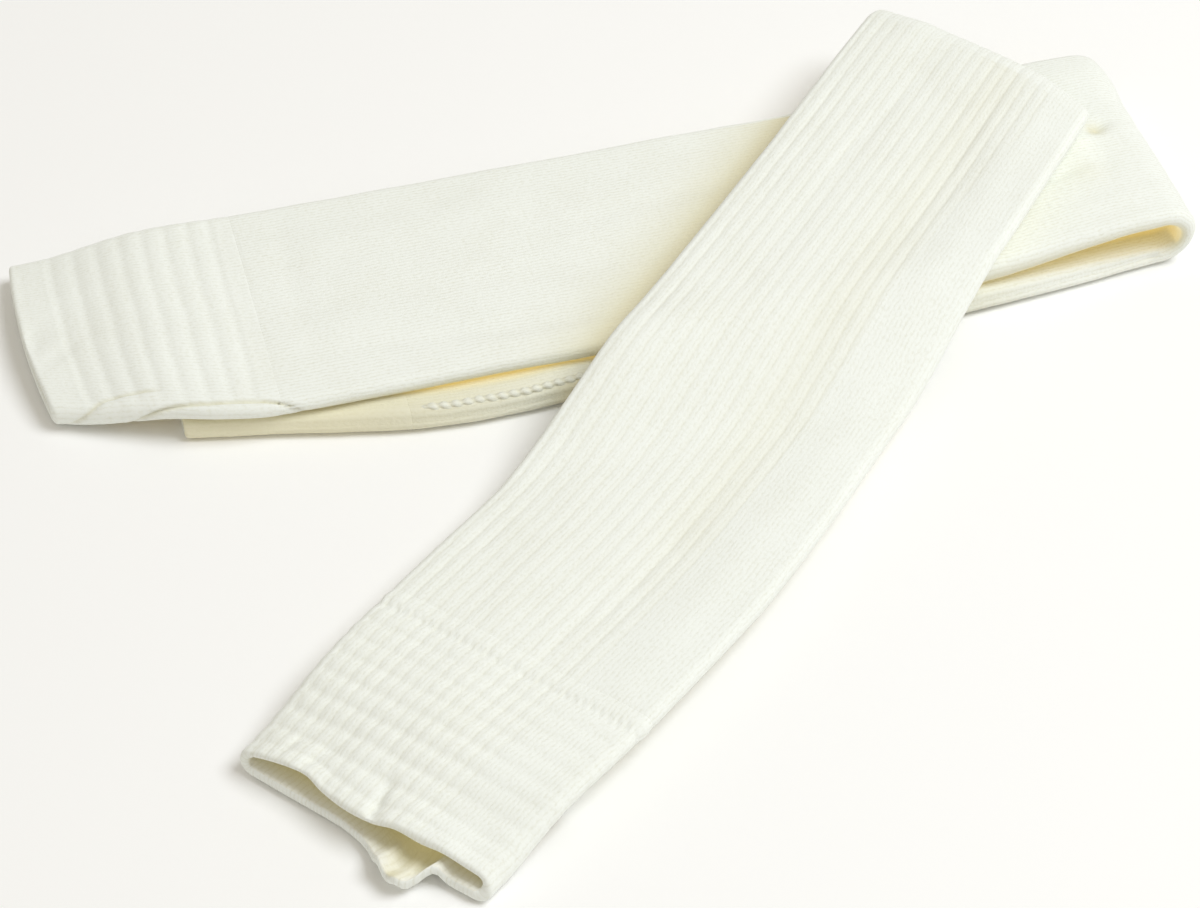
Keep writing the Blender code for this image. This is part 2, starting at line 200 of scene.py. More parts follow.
def curveThrough(rows, at):
    # value at a place on the smooth curve through a table's rows
    at = min(max(at, rows[0][0]), rows[-1][0])
    slopes = []
    for i in range(len(rows)):
        low, high = rows[max(i - 1, 0)], rows[min(i + 1, len(rows) - 1)]
        slopes.append((high[1] - low[1]) / (high[0] - low[0]))
    for (x0, y0), (x1, y1), m0, m1 in zip(rows, rows[1:], slopes, slopes[1:]):
        if at <= x1:
            break
    span = x1 - x0
    t = (at - x0) / span
    return (y0 * (1 + 2 * t) * (1 - t) ** 2 + m0 * span * t * (1 - t) ** 2
            + y1 * t * t * (3 - 2 * t) - m1 * span * t * t * (1 - t))


def ease(t):
    t = min(max(t, 0.0), 1.0)
    return t * t * (3 - 2 * t)


def bell(at, middle, spread):
    return math.exp(-((at - middle) / spread) ** 2)


def foldStart(warmer):
    return warmer["run"] - warmer["foldReach"] - knit["edgeRadius"]


def upperHeight(warmer, along, across):
    near = min(max(0.5 - across / knit["legWidth"], 0.0), 1.0)
    droop = warmer["nearDroop"] * ease((-across - drape["droopFrom"]) / drape["droopWidth"])
    droop *= 1 - ease((along - drape["droopAlong"]) / drape["droopLength"])
    return curveThrough(warmer["height"], along) + curveThrough(warmer["nearLift"], along) * near - droop


def underTop(along, across):
    half = curveThrough(underWarmer["halfWidth"], along) - knit["edgeRadius"]
    share = min(max((across - curveThrough(underWarmer["centre"], along)) / half, -1.0), 1.0)
    return upperHeight(underWarmer, along, across) + knit["edgeRadius"] + knit["crown"] * (1 - share * share)


def inWarmer(warmer, x, y):
    # from a place on the floor in mm to the distances along and across a warmer
    dx, dy = x - warmer["start"][0], y - warmer["start"][1]
    cos, sin = math.cos(warmer["heading"]), math.sin(warmer["heading"])
    return dx * cos + dy * sin, dy * cos - dx * sin


def supportHeight(x, y):
    # height of what the upper warmer lies on
    along, across = inWarmer(underWarmer, x, y)
    edge = knit["legWidth"] / 2
    top = underTop(min(along, foldStart(underWarmer)), min(max(across, -edge), edge)) + knit["restGap"]
    rise = ease((across + edge + drape["rampLength"]) / (drape["rampLength"] - drape["rampClear"]))
    past = max(across - edge, 0.0) / drape["sagLength"]
    return top * rise - drape["sag"] * past * past


def layDown(warmer, along, across, height):
    # from a warmer's own flat frame in mm to its place in the scene in metres
    cos, sin = math.cos(warmer["heading"]), math.sin(warmer["heading"])
    x = warmer["start"][0] + along * cos - across * sin
    y = warmer["start"][1] + along * sin + across * cos
    if warmer is overWarmer:
        height += supportHeight(x, y)
    return Vector((x - knit["middle"][0], y - knit["middle"][1], height)) * mm


def sectionAt(warmer, stretch, value):
    # a section across one stretch of the tube: the upper run, the fold or the return
    start = foldStart(warmer)
    back, turn = warmer["returnHalfWidth"], 0.0
    along = value if stretch != "fold" else start
    half, centre = curveThrough(warmer["halfWidth"], along), curveThrough(warmer["centre"], along)
    mouth = 1 - ease(along / knit["cuffLength"]) if stretch == "upper" else 0.0
    upper = 1.0
    if stretch == "fold":
        turn = value
        half += (back - half) * ease(turn)
        centre += (curveThrough(warmer["returnCentre"], start) - centre) * ease(turn)
        upper = 1 - ease(turn)
    if stretch == "return":
        half, centre, turn, upper = back, curveThrough(warmer["returnCentre"], along), 1.0, 0.0
    arc = math.pi * (warmer["foldReach"] + knit["foldSpare"])
    path = {"upper": along, "fold": start + arc * turn, "return": start + arc + start - along}[stretch]
    return {
        "stretch": stretch,
        "along": along,
        "turn": turn * math.pi,
        "upper": upper,
        "mouth": mouth,
        "half": half,
        "centre": centre,
        "radius": knit["edgeRadius"] + knit["mouthRounding"] * warmer["mouthPuff"] * mouth,
        "puff": (knit["crown"] + warmer["mouthPuff"] * mouth) * upper,
        "slant": curveThrough(warmer["slant"], along),
        "roll": curveThrough(warmer["nearRoll"], along) * upper,
        "lift": curveThrough(warmer["returnLift"], along) if stretch == "return" else 0.0,
        "path": path,
    }


def groove(phase, narrowness):
    # 1 in the middle of a groove at each whole phase, 0 between
    return (0.5 + 0.5 * math.cos(2 * math.pi * phase)) ** narrowness


def ribAt(warmer, section, wayRound):
    # relief of the ribs round the tube, in mm
    if not warmer["ribbed"] or section["stretch"] == "return":
        return 0.0
    along, phase = section["along"], wayRound / ribs["pitch"]
    last = curveThrough(ribs["end"], along)
    first = -ribs["pitch"] * ribs["wrapsBack"]
    inside = ease((wayRound - first) / 3) * (1 - ease((wayRound - last + 1.5) / 3))
    ribNumber = math.floor(phase + 0.5)
    uneven = 1 + ribs["uneven"] * noise.noise(Vector((along / ribs["unevenLength"], ribNumber * 3.1, 2.0)))
    uneven += ribs["broken"] * noise.noise(Vector((along / ribs["brokenLength"], ribNumber * 2.7, 5.0)))
    inCuff = 1 - ease((along - ribs["cuffEnd"]) / ribs["joinLength"])
    narrowness = ribs["grooveNarrowness"] + (ribs["cuffNarrowness"] - ribs["grooveNarrowness"]) * inCuff
    deep = ribs["groove"] * groove(phase, narrowness)
    halfway = ribs["halfway"] * groove(phase + 0.5, ribs["halfwayNarrowness"])
    far, plain = ribs["farEdge"], ribs["plainSide"]
    bolder = 1 + far["more"] * bell(wayRound, far["at"], far["spread"])
    bolder += plain["more"] * bell(wayRound, plain["at"], plain["spread"]) * ease(
        (along - ribs["cuffEnd"]) / plain["length"])
    height = ribs["height"] * bolder
    height += (ribs["cuffHeight"] - height) * inCuff
    if section["stretch"] == "fold":
        height *= ribs["foldShare"] * (1 - ease(section["turn"] / ribs["foldEnd"]))
    return height * (ribs["crest"] - deep * uneven - halfway) * inside


# Two pressed lines by the lower warmer's near edge, its cuff's crease and the side seam: along and round
hemLines = [
    {"path": ((2, 92.0), (9, 88.0), (17, 83.0), (27, 80.0), (36, 79.0)), "depth": 0.9, "below": 0.55},
    {"path": ((20, 93.0), (32, 87.5), (47, 84.5), (64, 84.0), (72, 87.0), (78, 92.5)), "depth": 1.5,
     "below": 0.1},
]
hemLineWidth = 0.6


def hemLineAt(along, wayRound):
    # depth of the pressed lines, in mm
    depth = 0.0
    for line in hemLines:
        path = line["path"]
        inside = ease((along - path[0][0]) / 6) * (1 - ease((along - path[-1][0] + 6) / 6))
        depth += line["depth"] * inside * bell(wayRound, curveThrough(path, along), hemLineWidth)
    return depth


def weltAt(warmer, along, face, wayRound):
    # relief of the cuff's crosswise welts, in mm
    hem, count = warmer["welts"]
    pitch = (knit["cuffLength"] - hem - welts["last"]) / count
    wander = welts["wander"] * noise.noise(Vector((wayRound / 16, along / 30, warmer["seed"] + 9)))
    phase = (along - hem + wander) / pitch
    inside = ease(phase * 3 + 1.5) * (1 - ease((phase - count) * 3 - 0.5))
    welt = (welts["crest"] - welts["groove"] * groove(phase, welts["narrowness"])) * inside
    if warmer["ribbed"]:
        smooth = ease((wayRound - curveThrough(ribs["end"], along)) / 6)
        welt *= (1 - welts["plainLoss"] * smooth) * welts["ribbedMore"]
    else:
        for line in hemLines:
            past = wayRound - curveThrough(line["path"], along) + hemLineWidth
            below = ease(past / (2 * hemLineWidth)) * ease((along - line["path"][0][0] + 4) / 4)
            welt *= 1 - (1 - line["below"]) * below
    return welt * welts["height"] * {"top": 1.0, "bottom": welts["underShare"]}.get(face, welts["sideShare"])


# Linking stitches that join the upper warmer's cuff to its leg, and the dip at both cuffs' ends, in mm
joinLine = {
    "along": 63.6,
    "spread": 2.0,
    "height": 0.42,
    "ridgeAfter": 2.6,
    "ridgeSpread": 1.8,
    "ridge": 0.28,
    "stitch": 2.93,
    "slant": 6.5,
    "dip": 0.16,
    "dipSpread": 1.1,
    "plainShare": 0.3,
}


def joinAt(along, wayRound):
    # relief of the linking stitches, in mm
    dash = 0.5 + 0.5 * math.cos(2 * math.pi * (wayRound / joinLine["stitch"] + along / joinLine["slant"]))
    stitches = joinLine["height"] * bell(along, joinLine["along"], joinLine["spread"]) * dash
    ridgeAlong = joinLine["along"] + joinLine["ridgeAfter"]
    return joinLine["ridge"] * bell(along, ridgeAlong, joinLine["ridgeSpread"]) - stitches


# The cloth's soft unevenness: length along, length round, share of the rumple and seed of each layer
rumples = ((34, 21, 1.0, 0), (13, 11, 0.45, 5), (5, 3.4, 0.2, 7))


def reliefAt(warmer, section, face, wayRound, across):
    # how far the cloth's face stands out from the plain tube, in mm
    along, path = section["along"], section["path"]
    onFloor = section["stretch"] == "return" and face == "top"
    if onFloor:
        return 0.0
    relief = ribAt(warmer, section, wayRound)
    if section["stretch"] == "upper" and along <= knit["cuffLength"]:
        relief += weltAt(warmer, along, face, wayRound)
        if warmer["ribbed"]:
            relief += joinAt(along, wayRound)
    if section["stretch"] == "upper":
        share = 1.0 if warmer["ribbed"] else joinLine["plainShare"]
        relief -= joinLine["dip"] * share * bell(along, knit["cuffLength"], joinLine["dipSpread"])
        if not warmer["ribbed"]:
            relief -= hemLineAt(along, wayRound)
    uneven = sum(share * noise.noise(Vector((path / lengthways, wayRound / sideways, warmer["seed"] + seed)))
                 for lengthways, sideways, share, seed in rumples)
    relief += warmer["rumple"] * uneven
    if face == "top" and section["stretch"] != "return":
        for crease in creases[warmer["name"]]:
            relief += creaseAt(crease, along, across)
    return relief


def creaseAt(crease, along, across):
    # a soft trough (minus) or ridge (plus) along a line, in mm
    middleAlong, middleAcross, degrees, length, width, height = crease
    turn = math.radians(degrees)
    da, dc = along - middleAlong, across - middleAcross
    lengthways = da * math.cos(turn) + dc * math.sin(turn)
    sideways = dc * math.cos(turn) - da * math.sin(turn)
    return height * bell(lengthways, 0, length) * bell(sideways, 0, width)


# The pressed cloth's folds in mm: middle along and across, direction in degrees, length, width and height
creases = {
    "under": [
        (120, 24, 3, 55, 7, 0.5),
        (150, -8, -4, 70, 6, -0.4),
        (215, 14, 6, 45, 5, -0.4),
        (118, -28, -6, 34, 4, -0.45),
        (165, -37, -3, 34, 3.5, 0.6),
        (84, 10, 88, 26, 4, -0.35),
        (3, 6, 70, 7, 4.5, -0.9),
        (9, -3, 28, 8, 2.6, -0.45),
        (359.5, 3, 32, 4.8, 2.6, -2.5),
        (362, 33, 0, 14, 12, 1.6),
        (353, -1, 34, 9, 3.2, 0.9),
        (341, -15, 12, 9, 2.2, -1.2),
        (355, -16, 75, 9, 3.5, -0.7),
        (345, -33, 6, 20, 4, 0.6),
    ],
    "over": [
        (320, -16.5, 2, 42, 2.4, -0.55),
        (296, -22, -4, 26, 3.0, -0.4),
        (130, -18.5, -3, 55, 3.0, -0.4),
        (90, -11.5, -2, 24, 2.2, -0.4),
        (265, 12, 2, 75, 5, -0.3),
        (315, 13, -3, 40, 2.5, -0.35),
        (150, -38, -2, 90, 7, 0.6),
        (290, -34, 3, 60, 6, 0.5),
        (120, 12, 5, 60, 9, 0.4),
        (168, 27, -4, 24, 8, 0.7),
        (218, 2, -16, 26, 7, -0.5),
        (345, 27, -6, 40, 6, 0.45),
        (5, 0.5, 12, 8, 1.8, -1.7),
        (6, 24, -16, 8, 2.0, -1.2),
        (9, 32, -20, 9, 1.8, -0.6),
        (5, -15, 4, 9, 6, 0.8),
        (10, 12, 8, 14, 5, 0.6),
        (40, 3, 6, 30, 9, 0.5),
    ],
}


# The rim curls a little, so it looks thicker than the wall, and the folded half is grooved by its edges
rimRoll = {"upper": 0.25, "lower": 1.0, "length": 8.0}
returnGroove = {"depth": 1.0, "at": math.pi * 2 / 3, "spread": 0.4}


def clothPoint(warmer, section, face, place, wayRound, depth):
    # a point of the cloth, depth below its outer face
    if section["mouth"]:
        lower = {"top": 0.0, "bottom": 1.0}.get(face, (1 - math.cos(place)) / 2)
        thicker = rimRoll["upper"] + (rimRoll["lower"] - rimRoll["upper"]) * lower
        depth *= 1 + thicker * (1 - ease(section["along"] / rimRoll["length"]))
    radius = section["radius"] - depth
    flat = section["half"] - section["radius"]
    sideShare, nominal = 0.0, place * flat
    if face in ("near", "far"):
        sideShare = math.sin(place)
        nominal = (flat + radius * sideShare) * (1 if face == "far" else -1)
    fade = max(0.0, 1 - depth / knit["reliefDepth"])
    relief = fade * reliefAt(warmer, section, face, wayRound, nominal + section["centre"]) if fade else 0.0
    if face in ("top", "bottom"):
        side = 1 if face == "top" else -1
        across = nominal
        out = side * (radius + relief + (section["puff"] if face == "top" else 0.0) * (1 - place * place))
        if face == "top":
            trough = warmer["trough"] * section["upper"]
            if section["stretch"] == "upper":
                trough *= ease(section["along"] / knit["cuffLength"] - 0.4)
            out -= trough * bell(place, lie["troughPlace"], lie["troughSpread"])
            out += curveThrough(warmer["rimRise"], nominal + section["centre"]) * section["mouth"] * (
                1 - ease(section["along"] / lie["riseLength"]))
        else:
            out -= section["roll"] * ease((0.3 - place) / 1.3)
            out -= section["lift"]
        if face == "bottom" and section["mouth"]:
            pleatFade = 1 - ease(section["along"] / lie["pleatLength"])
            for middle, width, height in warmer["pleats"]:
                out += height * bell(across, middle, width) * pleatFade
            jut = curveThrough(warmer["tongue"], across) / lie["tongueJut"]
            out += lie["tongueCurl"] * jut * bell(section["along"], 0, lie["curlLength"])
    else:
        side = -1 if face == "near" else 1
        relief += section["lift"] * (1 - math.cos(place)) / 2
        if section["stretch"] == "return":
            relief -= returnGroove["depth"] * bell(place, returnGroove["at"], returnGroove["spread"])
        elif side < 0:
            relief += section["roll"] * (1 - math.cos(place)) / 2
        across = side * (flat + (radius + relief) * sideShare)
        out = (radius + relief) * math.cos(place)
    share = across / section["half"]
    across += section["centre"]
    along = section["along"] + section["slant"] * across / knit["legWidth"]
    hangs = ease((-across - lie["cornerAcross"]) / lie["cornerWidth"]) * ease(
        (section["along"] - lie["cornerAlong"]) / lie["cornerLength"])
    along -= warmer["corner"][0] * hangs
    down = warmer["corner"][1] * hangs * section["upper"]
    if section["stretch"] == "upper":
        along -= warmer["rimBow"] * section["mouth"] * (1 - share * share)
        if face == "bottom":
            tongueFade = 1 - ease(section["along"] / lie["tongueLength"])
            along -= curveThrough(warmer["tongue"], nominal) * tongueFade
        else:
            above = 1 if face == "top" else (1 + math.cos(place)) / 2
            waveFade = 1 - ease(section["along"] / lie["waveLength"])
            along += curveThrough(warmer["rimWave"], across) * waveFade * above
        return layDown(warmer, along, across, upperHeight(warmer, along, across) - down + out)
    if section["stretch"] == "return":
        return layDown(warmer, along, across, knit["edgeRadius"] - out)
    top = upperHeight(warmer, along, across) - down
    reach, drop = warmer["foldReach"], (top - knit["edgeRadius"]) / 2
    turn = section["turn"]
    normal = Vector((drop * math.sin(turn), reach * math.cos(turn))).normalized()
    along += reach * math.sin(turn) + out * normal.x
    return layDown(warmer, along, across, top - drop + drop * math.cos(turn) + out * normal.y)


# Places by the lower warmer's fold where the pressed cloth gets painted tan shadow, in mm
paintedShadowSpots = [
    {"along": 359.0, "across": 2.6, "spread": 3.0, "share": 0.9},
    {"along": 348.0, "across": -17.0, "spread": 6.0, "share": 0.2},
]
paintedShadowFrom = 300.0


# Painted tan shade, standing in for the light thrown about between the layers, lengths in mm and turns in
# radians
shade = {
    "rim": 2.0,            # inside, from a mouth inwards
    "mouthLength": 9.0,
    "seam": 0.06,          # underneath the folded half, where its plies part
    "seamWidth": 0.12,
    "below": 0.85,         # underneath the upper run
    "belowRim": 20.0,
    "belowFrom": 150.0,
    "belowLength": 110.0,
    "foldFrom": 1.4,       # between the plies at the fold's side edges, until the fold opens outwards
    "foldOpens": 1.9,
    "foldLength": 1.2,
    "folded": 0.85,        # on the lower warmer's folded half, and its falls: from, length, by how much
    "foldedFalls": ((80, 110, 0.45), (290, 50, 0.4)),
    "pressed": 0.6,        # in the pressed lines
    "edgeFrom": 1.0,       # low on the lower warmer's near edge
    "edgeLength": 1.6,
    "edgeAlong": 60.0,
}

# Painted shade in the rib grooves and the trough, and painted shadow beside the upper warmer where it
# overhangs the lower one
grooveShade = {"leg": 0.13, "cuff": 0.12}
troughShade = {"share": 0.15, "aside": 0.05, "spread": 0.22, "from": 90.0, "length": 60.0}
besidePaintedShadow = {"share": 0.85, "full": 8.5, "reach": 10.0, "falls": 1.4}

# Painted shade inside the upper warmer's curled tongue, in mm
paintedTongueShade = {"across": -17.0, "width": 2.4, "along": 2.5, "length": 2.5}


def isInside(depth):
    return depth > knit["ply"] * knit["innerShare"]


# painted shade inside the tube, from its mouths inwards, and in the curled tongue
def paintedShadeInside(warmer, section, face, place):
    mouth = ease((section["along"] - shade["rim"]) / shade["mouthLength"])
    if face == "bottom" and warmer["ribbed"] and section["mouth"]:
        across = place * (section["half"] - section["radius"])
        curl = bell(across, paintedTongueShade["across"], paintedTongueShade["width"])
        return max(mouth, curl * bell(section["along"], paintedTongueShade["along"], paintedTongueShade["length"]))
    if section["stretch"] == "return":
        return ease((section["along"] - warmer["returnEnd"] - shade["rim"]) / shade["mouthLength"])
    return mouth if section["stretch"] == "upper" else 1.0


def paintedShadeAt(warmer, section, face, place, wayRound, depth):
    # how much painted shade a place gets from the layers round it, from 0 to 1
    if isInside(depth):
        return paintedShadeInside(warmer, section, face, place)
    along, ribbed = section["along"], warmer["ribbed"]
    inward = ease((place + 1 - shade["seam"]) / shade["seamWidth"]) if face == "bottom" else 0.0
    if section["stretch"] == "return":
        shaded = 0.0
        if not ribbed and face in ("near", "bottom"):
            shaded = shade["folded"] - sum(by * ease((along - start) / length)
                                           for start, length, by in shade["foldedFalls"])
        return max(inward, shaded)
    if section["stretch"] == "fold":
        shut = {"top": 0.0, "bottom": 1.0}.get(face, ease((place - shade["foldFrom"]) / shade["foldLength"]))
        return shut + (inward - shut) * ease((section["turn"] - shade["foldOpens"]) / shade["foldLength"])
    # painted shade underneath the upper run
    if face == "bottom":
        deeper = (1 - shade["below"]) * ease((along - shade["belowFrom"]) / shade["belowLength"])
        return ease(along / shade["belowRim"]) * (shade["below"] + deeper)
    # painted shadow spots by the lower warmer's fold
    if face == "top" and not ribbed and along > paintedShadowFrom:
        across = place * (section["half"] - section["radius"]) + section["centre"]
        return min(1.0, sum(spot["share"] * bell(along, spot["along"], spot["spread"]) * bell(
            across, spot["across"], spot["spread"]) for spot in paintedShadowSpots))
    # painted shade in the pressed lines
    pressed = 0.0 if ribbed else hemLineAt(along, wayRound)
    if pressed > 0.05:
        return shade["pressed"] * min(1.0, pressed)
    # painted shade in the rib grooves and the trough
    if face == "top" and ribbed and wayRound < curveThrough(ribs["end"], along):
        share = grooveShade["leg"] if along > knit["cuffLength"] else grooveShade["cuff"]
        aside = lie["troughPlace"] + troughShade["aside"]
        trough = troughShade["share"] * bell(place, aside, troughShade["spread"])
        trough *= ease((along - troughShade["from"]) / troughShade["length"])
        return share * groove(wayRound / ribs["pitch"], ribs["grooveNarrowness"]) + trough
    # painted shade low on the lower warmer's near edge
    if face == "near" and not ribbed:
        low = ease((place - shade["edgeFrom"]) / shade["edgeLength"])
        return low * ease((along - shade["edgeAlong"]) / shade["edgeAlong"])
    return 0.0


def paintedShadowBeside(warmer, face, point):
    # painted shadow on the lower warmer beside the upper one, where the upper one overhangs it
    if warmer["ribbed"] or face not in ("top", "near"):
        return 0.0
    along, across = inWarmer(overWarmer, point.x / mm + knit["middle"][0], point.y / mm + knit["middle"][1])
    edge = curveThrough(overWarmer["centre"], along) + curveThrough(overWarmer["halfWidth"], along)
    away = max(0.0, across - edge - besidePaintedShadow["full"]) / besidePaintedShadow["reach"]
    return besidePaintedShadow["share"] * math.exp(-away ** besidePaintedShadow["falls"]) if across > 0 else 0.0


def stopsBetween(low, high, step):
    count = math.ceil((high - low) / step)
    return [low + (high - low) * i / count for i in range(count)]


def ribStops(start, count):
    return [start + (rib + share) * ribs["pitch"] for rib in range(count) for share in ribShares]


# Places across one rib, as shares of its pitch, and the bands by the side edges with their own steps, in mm
ribShares = (0.0, 0.12, 0.28, 0.5, 0.72, 0.88)
nearBand, farBand = 5.0, 6.0


def placesRound(warmer, plainStep, nearStep, hiddenStep):
    # places round the tube, the first again last: a face, the place on it, and the distance round it in mm,
    # always positive and then counted either way from the far edge
    radius, flat = knit["edgeRadius"], knit["legWidth"] / 2 - knit["edgeRadius"]
    side, around = math.pi * radius, 4 * flat + 2 * math.pi * radius
    ribsEnd = ribs["count"] * ribs["pitch"] if warmer["ribbed"] else 0.0
    nearStart, plainEnd = 2 * flat - nearBand, 2 * flat + side
    hiddenEnd = around - (ribs["wrapsBack"] * ribs["pitch"] if warmer["ribbed"] else side + farBand)
    stops = ribStops(0.0, ribs["count"]) if warmer["ribbed"] else []
    stops += stopsBetween(ribsEnd, nearStart, plainStep) + stopsBetween(nearStart, plainEnd, nearStep)
    stops += stopsBetween(plainEnd, hiddenEnd, hiddenStep)
    if warmer["ribbed"]:
        stops += ribStops(hiddenEnd, ribs["wrapsBack"])
    else:
        stops += stopsBetween(hiddenEnd, around, plainStep)
    places = []
    for stop in stops + [around]:
        at = stop if stop < around else 0.0
        if at <= 2 * flat:
            places.append(("top", 1 - at / flat, stop))
        elif at <= 2 * flat + side:
            places.append(("near", (at - 2 * flat) / radius, stop))
        elif at <= 4 * flat + side:
            places.append(("bottom", (at - 2 * flat - side) / flat - 1, stop))
        else:
            places.append(("far", math.pi - (at - 4 * flat - side) / radius, stop))
    return [(face, place, stop, stop - around if stop > around / 2 else stop) for face, place, stop in places]


def spaced(low, high, step):
    count = max(1, math.ceil(abs(high - low) / step - 1e-6))
    return [low + (high - low) * i / count for i in range(count + 1)]


def lipRows(stretch, at, direction):
    # the rounded lip from the inner face to the outer one at a tube's end
    half, steps = knit["ply"] / 2, 6
    rows = []
    for i in range(1, steps):
        turn = math.pi * (1 - i / steps)
        rows.append((stretch, at + direction * half * (1 - math.sin(turn)), half * (1 - math.cos(turn))))
    return rows


def finishPiece(bm, name, materials):
    # from a bmesh to a named object in the scene
    mesh = bpy.data.meshes.new(name)
    bm.to_mesh(mesh)
    bm.free()
    for material in materials:
        mesh.materials.append(material)
    piece = bpy.data.objects.new(name, mesh)
    bpy.context.scene.collection.objects.link(piece)
    print(name, len(mesh.polygons), "faces")
    return piece


def makeTube(name, warmer, rows, places, materials):
    # a wall of cloth whose rows run out along its outer face and back along its inner one
    bm = bmesh.new()
    bmesh.ops.create_grid(bm, x_segments=len(rows), y_segments=len(places) - 1, size=1.0)
    uvLayer = bm.loops.layers.uv.new("yarnMap")
    paintedShadeLayer = bm.verts.layers.float.new("paintedShade")
    sections = [sectionAt(warmer, stretch, value) for stretch, value, depth in rows]
    where = {}
    for vert in bm.verts:
        row = round((vert.co.x + 1) / 2 * len(rows)) % len(rows)
        column = round((vert.co.y + 1) / 2 * (len(places) - 1))
        face, place, stop, wayRound = places[column]
        where[vert] = (row, column, clothPoint(warmer, sections[row], face, place, wayRound, rows[row][2]))
        # painted shade between the layers, and the painted shadow beside the upper warmer
        vert[paintedShadeLayer] = max(paintedShadeAt(warmer, sections[row], face, place, wayRound, rows[row][2]),
                                paintedShadowBeside(warmer, face, where[vert][2]))
    for face in bm.faces:
        face.smooth = True
        shallowest = min(rows[where[loop.vert][0]][2] for loop in face.loops)
        face.material_index = 1 if isInside(shallowest) else 0
        for loop in face.loops:
            row, column, point = where[loop.vert]
            loop[uvLayer].uv = (places[column][2], sections[row]["path"])
    for vert in bm.verts:
        vert.co = where[vert][2]
    bmesh.ops.remove_doubles(bm, verts=bm.verts, dist=1e-7)
    if bm.calc_volume(signed=True) < 0:
        bmesh.ops.reverse_faces(bm, faces=bm.faces)
    return finishPiece(bm, name, materials)


def toLinear(hexColour):
    parts = [int(hexColour[i:i + 2], 16) / 255 for i in (1, 3, 5)]
    return tuple(p / 12.92 if p <= 0.04045 else ((p + 0.055) / 1.055) ** 2.4 for p in parts) + (1.0,)


def addNode(tree, kind, settings=None, links=None):
    node = tree.nodes.new(kind)
    for key, value in (settings or {}).items():
        if isinstance(key, int) or key in node.inputs:
            node.inputs[key].default_value = value
        else:
            setattr(node, key, value)
    for key, socket in (links or {}).items():
        tree.links.new(socket, node.inputs[key])
    return node


# Off-white acrylic yarn, machine knitted in plain stitch: columns of slanted loops that scatter light softly
plainKnit = {
    "name": "plainKnitYarn",
    "light": "#F5F8F2",
    # the darker end: painted shade low between the stitch loops, mixed with the yarn's uneven slub tone
    "deep": "#D9D8C3",
    "paintedShade": "#D9D2AA",   # painted tan shade, where light is thrown about between layers
    # colour of the painted glow in the deepest painted shade
    "glowColour": "#F4D078",
    "wale": 1.3,           # mm between stitch columns
    "course": 1.5,         # mm between rows
    "lean": 1.0,
    "columns": 0.65,       # how plainly the stitch columns stand out
    "stitchHeight": 0.3,   # mm
    "slubs": 1.2,          # how uneven the yarn is from stitch to stitch
    "mottle": 0.05,
    # how strongly the painted tan shade colour is mixed in
    "shade": 0.75,
    "glow": 0.26,          # painted glow: emission standing in for light that comes through the thin cloth into the deepest painted shade
    "sheen": 0.2,
}
ribbedKnit = dict(plainKnit, name="ribbedKnitYarn", wale=1.467, columns=0.4)
weltedKnit = dict(plainKnit, name="weltedKnitYarn", wale=1.467, course=1.8, columns=0.4)
# The back of the same stitches, seen in the mouths, with painted yellow shade and painted glow for the light
# thrown about between the plies
insideKnit = dict(plainKnit, name="insideKnitYarn", light="#F6F6EC", deep="#DEDAC2", paintedShade="#DFD59C",
                  glowColour="#EBDD9A", wale=2.2, course=0.9, lean=0.0, glow=0.13)

# How the yarn's pattern wanders, in mm, and how its surface takes light
yarn = {
    "wanderScale": 0.09,
    "wander": (1.6, 1.6, 0.0),
    "jitterScale": 0.45,
    "jitter": (0.9, 1.6, 0.0),
    "loop": 0.13,          # height of a loop's wave and of the column under it
    "loopBase": 0.7,
    "columnFullness": 0.7,
    "slubSize": (0.8, 1.6),
    "fibreScale": 1700.0,
    "fibre": 0.3,
    "bump": 0.42,
    "patchScale": 60.0,
    "lightShare": 0.9,     # how the height turns into the lighter colour, leaving painted shade low between the loops
    "lightBase": -0.05,
    "glowNarrowness": 10.0,
}
yarnSurface = {"Roughness": 0.88, "Specular IOR Level": 0.25, "Sheen Roughness": 0.6}


def combine(tree, operation, *values, clamp=False):
    # a maths node on numbers and other nodes' outputs
    numbers = {i: value for i, value in enumerate(values) if isinstance(value, float)}
    sockets = {i: value for i, value in enumerate(values) if not isinstance(value, float)}
    node = addNode(tree, "ShaderNodeMath", {"operation": operation, "use_clamp": clamp, **numbers}, sockets)
    return node.outputs[0]


def addNoise(tree, vector, settings):
    return addNode(tree, "ShaderNodeTexNoise", settings, {"Vector": vector})


def shifted(tree, noiseNode, amount, vector):
    node = addNode(tree, "ShaderNodeVectorMath", {"operation": "MULTIPLY_ADD", 1: amount},
                   {0: noiseNode.outputs["Color"], 2: vector})
    return node.outputs["Vector"]


